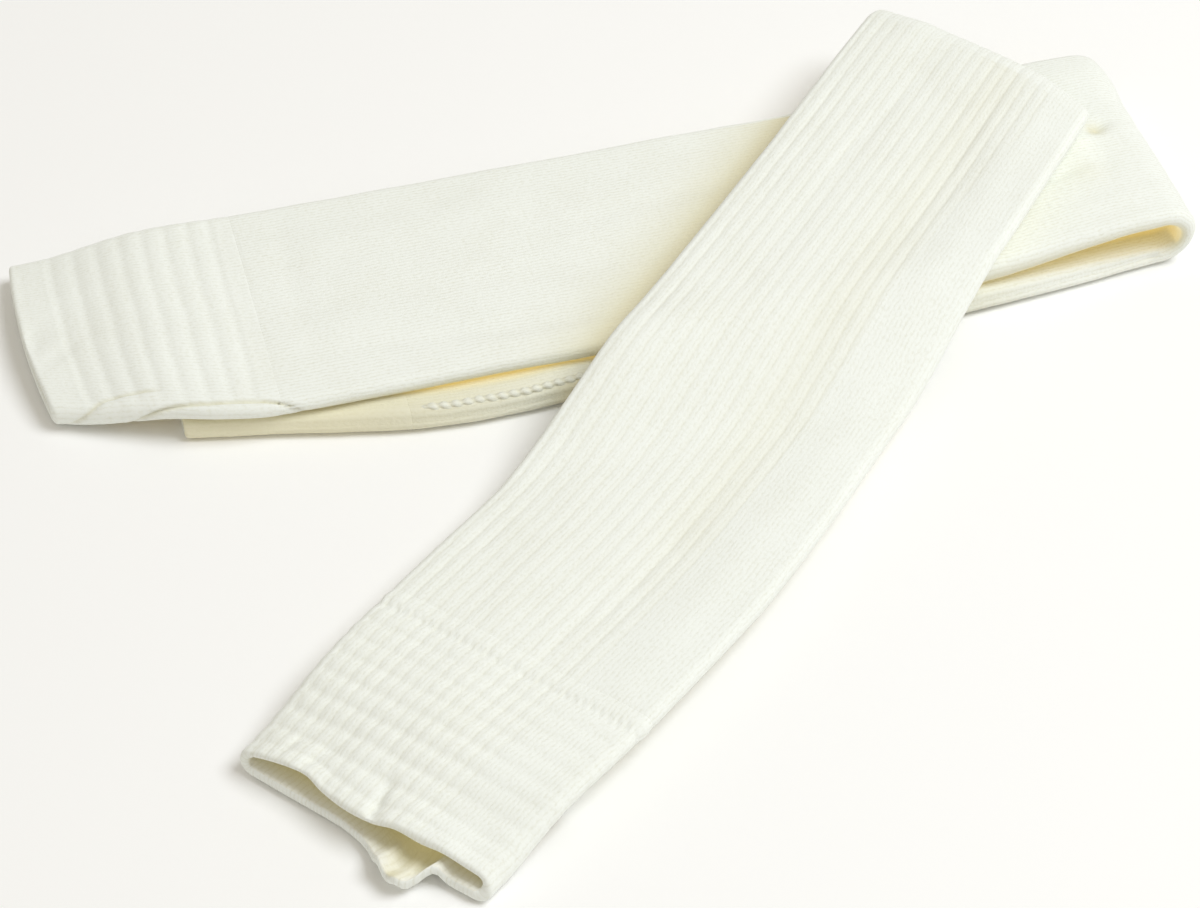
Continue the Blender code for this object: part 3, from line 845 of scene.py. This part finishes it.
def knitMaterial(look):
    material = bpy.data.materials.new(look["name"])
    material.use_nodes = True
    tree = material.node_tree
    shader, output = tree.nodes["Principled BSDF"], tree.nodes["Material Output"]
    uv = addNode(tree, "ShaderNodeUVMap", {"uv_map": "yarnMap"}).outputs["UV"]
    place = addNode(tree, "ShaderNodeTexCoord").outputs["Object"]

    # slanted loops in columns, on a grid that wanders
    wander = addNoise(tree, uv, {"Scale": yarn["wanderScale"], "Detail": 2.0})
    jitter = addNoise(tree, uv, {"Scale": yarn["jitterScale"], "Detail": 2.0})
    grid = shifted(tree, jitter, yarn["jitter"], shifted(tree, wander, yarn["wander"], uv))
    split = addNode(tree, "ShaderNodeSeparateXYZ", {}, {"Vector": grid})
    wale = combine(tree, "DIVIDE", split.outputs["X"], look["wale"])
    course = combine(tree, "DIVIDE", split.outputs["Y"], look["course"])
    aside = combine(tree, "ABSOLUTE", combine(tree, "SUBTRACT", combine(tree, "FRACT", wale), 0.5))
    leaning = combine(tree, "MULTIPLY_ADD", aside, look["lean"], course)
    wave = combine(tree, "COSINE", combine(tree, "MULTIPLY", leaning, 2 * math.pi))
    loops = combine(tree, "MULTIPLY_ADD", wave, yarn["loop"], yarn["loopBase"])
    column = combine(tree, "ABSOLUTE", combine(tree, "SINE", combine(tree, "MULTIPLY", wale, math.pi)))
    stitch = combine(tree, "MULTIPLY", combine(tree, "POWER", column, yarn["columnFullness"]), loops)
    soft = combine(tree, "MULTIPLY_ADD", stitch, look["columns"], 0.5 * (1 - look["columns"]))

    # slubs and fibres
    width, length = yarn["slubSize"]
    perMm = (1 / width, 1 / length, 1.0)
    yarnSize = addNode(tree, "ShaderNodeVectorMath", {"operation": "MULTIPLY", 1: perMm}, {0: uv})
    slubs = addNoise(tree, yarnSize.outputs["Vector"], {"Scale": 1.0, "Detail": 3.0, "Roughness": 0.6})
    fibres = addNoise(tree, place, {"Scale": yarn["fibreScale"], "Detail": 3.0, "Roughness": 0.65})
    uneven = combine(tree, "MULTIPLY_ADD", slubs.outputs["Fac"], look["slubs"], soft)
    surface = combine(tree, "MULTIPLY_ADD", fibres.outputs["Fac"], yarn["fibre"], uneven)
    bump = addNode(tree, "ShaderNodeBump", {"Strength": yarn["bump"], "Distance": look["stitchHeight"] * mm},
                   {"Height": surface})

    # the colour by height and patch, with painted shade low between the loops, and painted tan shade between
    # the layers
    patches = addNoise(tree, place, {"Scale": yarn["patchScale"], "Detail": 3.0})
    mottle = look["mottle"]
    patchShare = combine(tree, "MULTIPLY_ADD", patches.outputs["Fac"], mottle * 6, -mottle * 3)
    share = combine(tree, "MULTIPLY_ADD", uneven, yarn["lightShare"], yarn["lightBase"], clamp=True)
    mottled = combine(tree, "ADD", share, patchShare, clamp=True)
    colour = addNode(tree, "ShaderNodeMix", {
        "data_type": "RGBA", 6: toLinear(look["deep"]), 7: toLinear(look["light"])}, {"Factor": mottled})
    # attribute with the amount of painted shade, from 0 to 1
    paintedShade = addNode(tree, "ShaderNodeAttribute", {"attribute_name": "paintedShade"}).outputs["Fac"]
    shaded = addNode(tree, "ShaderNodeMix", {"data_type": "RGBA", 7: toLinear(look["paintedShade"])}, {
        "Factor": combine(tree, "MULTIPLY", paintedShade, look["shade"]), 6: colour.outputs[2]})

    # painted glow: emission that stands in for light coming through the thin cloth into the deepest painted
    # shade
    deepest = combine(tree, "POWER", paintedShade, yarn["glowNarrowness"])
    tree.links.new(combine(tree, "MULTIPLY", deepest, look["glow"]), shader.inputs["Emission Strength"])
    shader.inputs["Emission Color"].default_value = toLinear(look["glowColour"])

    tree.links.new(shaded.outputs[2], shader.inputs["Base Color"])
    tree.links.new(bump.outputs["Normal"], shader.inputs["Normal"])
    tree.links.new(shader.outputs["BSDF"], output.inputs["Surface"])
    for name, value in yarnSurface.items():
        shader.inputs[name].default_value = value
    shader.inputs["Sheen Weight"].default_value = look["sheen"]
    return material


plainYarn = knitMaterial(plainKnit)
ribbedYarn = knitMaterial(ribbedKnit)
weltedYarn = knitMaterial(weltedKnit)
insideYarn = knitMaterial(insideKnit)
print("yarns made")


def wallRows(outer, inner, mouthAtStart, mouthAtEnd):
    # outer rows, an end, inner rows back, and the other end; a row is a stretch, a value on it and a depth
    rows = list(outer)
    if mouthAtEnd:
        rows += lipRows(outer[-1][0], *mouthAtEnd)[::-1]
    rows += [(stretch, value, knit["ply"]) for stretch, value in inner]
    if mouthAtStart:
        rows += lipRows(outer[0][0], *mouthAtStart)
    return rows


# Steps round the tube on its plain, near and hidden parts, and along each piece's outer and inner face, in mm
stepsRound = {"cuff": (0.85, 0.5, 1.4), "leg": (1.0, 0.6, 2.2), "backCuff": (1.0, 1.0, 1.6)}
stepsAlong = {"cuff": (0.72, 4.0), "leg": (2.0, 9.0), "return": (5.0, 14.0), "backCuff": (1.6, 8.0)}
foldSteps = 24

# Neighbouring pieces run into each other's wall, so that no slit shows at a join, in mm
lapJoin = {"length": 0.9, "depth": 0.5, "bevel": 0.3, "bevelDepth": 0.05}


def lapRows(stretch, at, direction):
    # the last rows of a piece's outer face, where it goes down into its neighbour
    lapEnd = at + direction * lapJoin["length"]
    return [(stretch, at, lapJoin["bevelDepth"]), (stretch, lapEnd, lapJoin["depth"])]


def buildWarmer(warmer, outsideYarn):
    start, cuff, half = foldStart(warmer), knit["cuffLength"], knit["ply"] / 2
    lap, bevel = lapJoin["length"], lapJoin["bevel"]
    outStep, inStep = stepsAlong["cuff"]
    outer = [("upper", a, 0.0) for a in spaced(half, cuff - bevel, outStep)] + lapRows("upper", cuff, 1)
    inner = [("upper", a) for a in spaced(cuff + lap, half, inStep)]
    cuffPlaces = placesRound(warmer, *stepsRound["cuff"])
    cuffRows = wallRows(outer, inner, (0.0, 1), None)
    cuffPiece = makeTube(f"{warmer['name']}CuffKnit", warmer, cuffRows, cuffPlaces, [weltedYarn, insideYarn])

    turns = [i / foldSteps for i in range(1, foldSteps)]
    end, backStart = warmer["returnEnd"], warmer["returnEnd"] + cuff
    (outStep, inStep), (backOutStep, backInStep) = stepsAlong["leg"], stepsAlong["return"]
    outer = lapRows("upper", cuff, -1)[::-1]
    outer += [("upper", a, 0.0) for a in spaced(cuff + bevel, start, outStep)]
    outer += [("fold", t, 0.0) for t in turns]
    outer += [("return", a, 0.0) for a in spaced(start, backStart + bevel, backOutStep)]
    outer += lapRows("return", backStart, -1)
    inner = [("return", a) for a in spaced(backStart - lap, start, backInStep)]
    inner += [("fold", t) for t in turns[::-3]] + [("upper", a) for a in spaced(start, cuff - lap, inStep)]
    places = placesRound(warmer, *stepsRound["leg"])
    legPiece = makeTube(f"{warmer['name']}LegKnit", warmer, wallRows(outer, inner, None, None), places,
                        [outsideYarn, insideYarn])

    outStep, inStep = stepsAlong["backCuff"]
    outer = lapRows("return", backStart, 1)[::-1]
    outer += [("return", a, 0.0) for a in spaced(backStart - bevel, end + half, outStep)]
    inner = [("return", a) for a in spaced(end + half, backStart + lap, inStep)]
    backPlaces = placesRound(underWarmer, *stepsRound["backCuff"])
    backRows = wallRows(outer, inner, None, (end, 1))
    backPiece = makeTube(f"{warmer['name']}BackCuffKnit", warmer, backRows, backPlaces,
                         [weltedYarn, insideYarn])
    seamPiece = makeSeam(warmer, backStart + sideSeam["clear"], start - sideSeam["clear"])
    return cuffPiece, legPiece, backPiece, seamPiece


# The linked side seam: a chain of loops, thinner and deeper sunk under the upper warmer, in mm
sideSeam = {
    "radius": 1.05,
    "loop": 3.7,
    "swell": 0.36,
    "lean": 0.5,
    "inside": 3.0,
    "sunk": 0.1,
    "sinks": 1.3,
    "sinksFrom": 215.0,
    "sinksLength": 45.0,
    "thins": 0.55,
    "thinsFrom": 190.0,
    "thinsLength": 60.0,
    "wobble": 0.25,
    "clear": 3.0,
    "step": 0.55,
    "sides": 10,
    "endRows": 4,
    "gapShade": 0.75,           # painted shade between two loops, and how much less on a loop
    "gapShadeLess": 0.45,
}


def makeSeam(warmer, low, high):
    rows, sides = spaced(low, high, sideSeam["step"]), sideSeam["sides"]
    bm = bmesh.new()
    bmesh.ops.create_grid(bm, x_segments=len(rows) - 1, y_segments=sides, size=1.0)
    uvLayer = bm.loops.layers.uv.new("yarnMap")
    paintedShadeLayer = bm.verts.layers.float.new("paintedShade")
    where = {}
    for vert in bm.verts:
        row = round((vert.co.x + 1) / 2 * (len(rows) - 1))
        column = round((vert.co.y + 1) / 2 * sides)
        along, turn = rows[row], 2 * math.pi * (column % sides) / sides
        phase = along / sideSeam["loop"] + sideSeam["lean"] * math.cos(turn) * 0.5
        plump = abs(math.sin(math.pi * phase)) ** 0.8
        # painted shade between the seam's loops, less on each loop
        vert[paintedShadeLayer] = sideSeam["gapShade"] - sideSeam["gapShadeLess"] * plump
        size = sideSeam["radius"] * (1 + sideSeam["swell"] * (2 * plump - 1))
        size *= min(1.0, (row + 0.2) / sideSeam["endRows"], (len(rows) - 0.8 - row) / sideSeam["endRows"])
        size *= 1 - sideSeam["thins"] * ease((along - sideSeam["thinsFrom"]) / sideSeam["thinsLength"])
        wobble = 2 * sideSeam["wobble"] * noise.noise(Vector((along / 9, 0, warmer["seed"])))
        edge = curveThrough(warmer["returnCentre"], along) - warmer["returnHalfWidth"]
        across = edge + sideSeam["inside"] - size * math.sin(turn) + wobble
        sinking = ease((along - sideSeam["sinksFrom"]) / sideSeam["sinksLength"])
        sunk = sideSeam["sunk"] + sideSeam["sinks"] * sinking
        top = 2 * knit["edgeRadius"] + curveThrough(warmer["returnLift"], along) - sunk
        where[vert] = (along, turn, layDown(warmer, along, across, top + size * math.cos(turn)))
    for face in bm.faces:
        face.smooth = True
        for loop in face.loops:
            along, turn, point = where[loop.vert]
            loop[uvLayer].uv = (turn * sideSeam["radius"], along)
    for vert in bm.verts:
        vert.co = where[vert][2]
    bmesh.ops.remove_doubles(bm, verts=bm.verts, dist=1e-7)
    bmesh.ops.holes_fill(bm, edges=[e for e in bm.edges if e.is_boundary], sides=0)
    bmesh.ops.recalc_face_normals(bm, faces=bm.faces)
    return finishPiece(bm, f"{warmer['name']}SideSeam", [plainYarn])


# Floor, light and camera
floorLook = {"colour": "#FDFDFC", "size": 6.0, "drop": 0.4}
lightRig = {
    "key": {"at": (1.3, 0.0, 2.2), "size": 1.5, "power": 43.0, "colour": "#F6FAFF"},
    "fill": {"at": (-1.2, -2.0, 1.9), "size": 2.4, "power": 5.5, "colour": "#FFFFFF"},
    "sky": "#FFF8EA",
    "skyStrength": 0.46,
}
cameraView = {
    "pitch": 47.61,
    "roll": 1.604,
    "distance": 0.901,
    "focalPixels": 2889.0,
    "imageWidth": 1200.0,
    "sensor": 36.0,
    "clip": 0.02,
}


def makeFloor():
    # plain pale table top
    bm = bmesh.new()
    bmesh.ops.create_grid(bm, x_segments=1, y_segments=1, size=floorLook["size"] / 2)
    bmesh.ops.translate(bm, verts=bm.verts, vec=(0, 0, -floorLook["drop"] * mm))
    material = bpy.data.materials.new("paleTable")
    material.use_nodes = True
    shader = material.node_tree.nodes["Principled BSDF"]
    shader.inputs["Base Color"].default_value = toLinear(floorLook["colour"])
    shader.inputs["Roughness"].default_value = 0.7
    floor = finishPiece(bm, "floor", [material])
    return floor


def addLight(name, spec):
    light = bpy.data.lights.new(name, "AREA")
    light.shape = "DISK"
    light.size = spec["size"]
    light.energy = spec["power"]
    light.color = toLinear(spec["colour"])[:3]
    lamp = bpy.data.objects.new(name, light)
    lamp.location = spec["at"]
    lamp.rotation_euler = (-Vector(spec["at"])).to_track_quat("-Z", "Y").to_euler()
    bpy.context.scene.collection.objects.link(lamp)


def addCamera():
    pitch, roll = math.radians(cameraView["pitch"]), math.radians(cameraView["roll"])
    forward = Vector((0, math.cos(pitch), -math.sin(pitch)))
    right = Vector((1, 0, 0))
    up = right.cross(forward)
    rightRolled = math.cos(roll) * right + math.sin(roll) * up
    upRolled = -math.sin(roll) * right + math.cos(roll) * up
    turn = Matrix((rightRolled, upRolled, -forward)).transposed()
    camera = bpy.data.cameras.new("photoCamera")
    camera.sensor_width = cameraView["sensor"]
    camera.lens = cameraView["focalPixels"] / cameraView["imageWidth"] * cameraView["sensor"]
    camera.clip_start = cameraView["clip"]
    holder = bpy.data.objects.new("photoCamera", camera)
    aim = Vector((-knit["middle"][0], -knit["middle"][1], 0)) * mm
    holder.matrix_world = Matrix.Translation(aim - forward * cameraView["distance"]) @ turn.to_4x4()
    bpy.context.scene.collection.objects.link(holder)
    bpy.context.scene.camera = holder


floor = makeFloor()
addLight("keyLight", lightRig["key"])
addLight("fillLight", lightRig["fill"])
world = bpy.data.worlds.new("studio")
world.use_nodes = True
world.node_tree.nodes["Background"].inputs["Color"].default_value = toLinear(lightRig["sky"])
world.node_tree.nodes["Background"].inputs["Strength"].default_value = lightRig["skyStrength"]
bpy.context.scene.world = world
bpy.context.scene.view_settings.view_transform = "Standard"
addCamera()
print("studio set up")

outsides = ((underWarmer, plainYarn, "plain_knit"), (overWarmer, ribbedYarn, "ribbed_knit"))
for warmer, outsideYarn, slotName in outsides:
    cuffPiece, legPiece, backPiece, seamPiece = buildWarmer(warmer, outsideYarn)
    name = warmer["name"]
    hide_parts(f"{name}_cuff")
    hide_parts(f"{name}_leg", f"{name}_fold", f"{name}_return")
    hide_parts(f"{name}_return_cuff")
    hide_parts(f"{name}_side_seam")
    for piece in (cuffPiece, legPiece, backPiece, seamPiece):
        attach(piece, "root")
    print(name, "warmer laid down")
